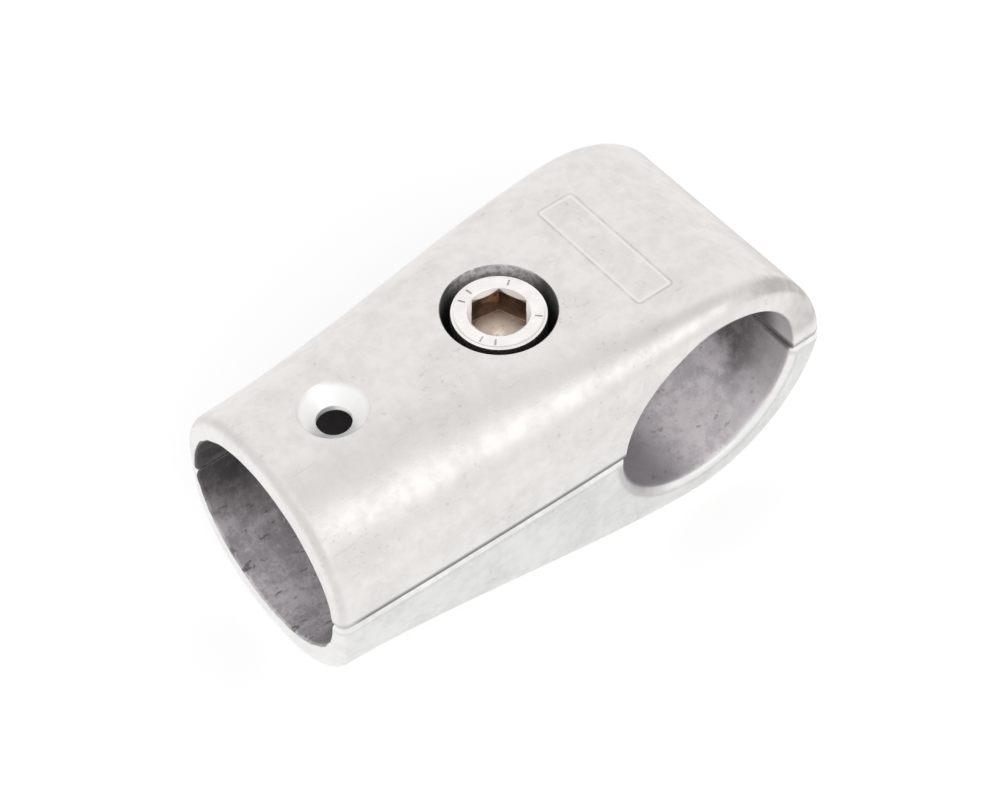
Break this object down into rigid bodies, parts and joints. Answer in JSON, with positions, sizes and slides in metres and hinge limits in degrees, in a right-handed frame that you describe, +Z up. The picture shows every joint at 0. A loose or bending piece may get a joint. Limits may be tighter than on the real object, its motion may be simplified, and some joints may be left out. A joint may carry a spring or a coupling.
{
  "type": "tube t-connector",
  "caption": "Cast split-clamp tube T-connector with a through ring for the cross tube and a socket for the joining tube, drawn closed by a cap screw.",
  "frame": {"origin": "middle of the cross bore, on the split plane", "axes": "+X away from the socket, +Y along the cross tube, +Z up through the clamp screw's head"},
  "size_m": [0.1156, 0.0528, 0.054],
  "materials": {
    "cast_aluminium": "tumbled raw casting",
    "stainless_steel": "turned, bright"
  },
  "bodies": {
    "lower_half": {"lower_half": "cast_aluminium", "hex_nut": "stainless_steel"},
    "upper_half": {"upper_half": "cast_aluminium"},
    "clamp_screw": {"clamp_screw": "stainless_steel"}
  },
  "joints": [
    {"name": "clamp_open", "type": "slide", "parent": "lower_half", "child": "upper_half", "axis": [0, 0, 1], "range_m": [0, 0.0053]},
    {"name": "screw_turn", "type": "hinge", "parent": "upper_half", "child": "clamp_screw", "pos_m": [-0.03106, 0, 0], "axis": [0, 0, 1], "range_deg": [0, 1080]}
  ],
  "couplings": [
    {"joint": "clamp_open", "follows": "screw_turn", "m_per_rad": 0.00027852}
  ]
}
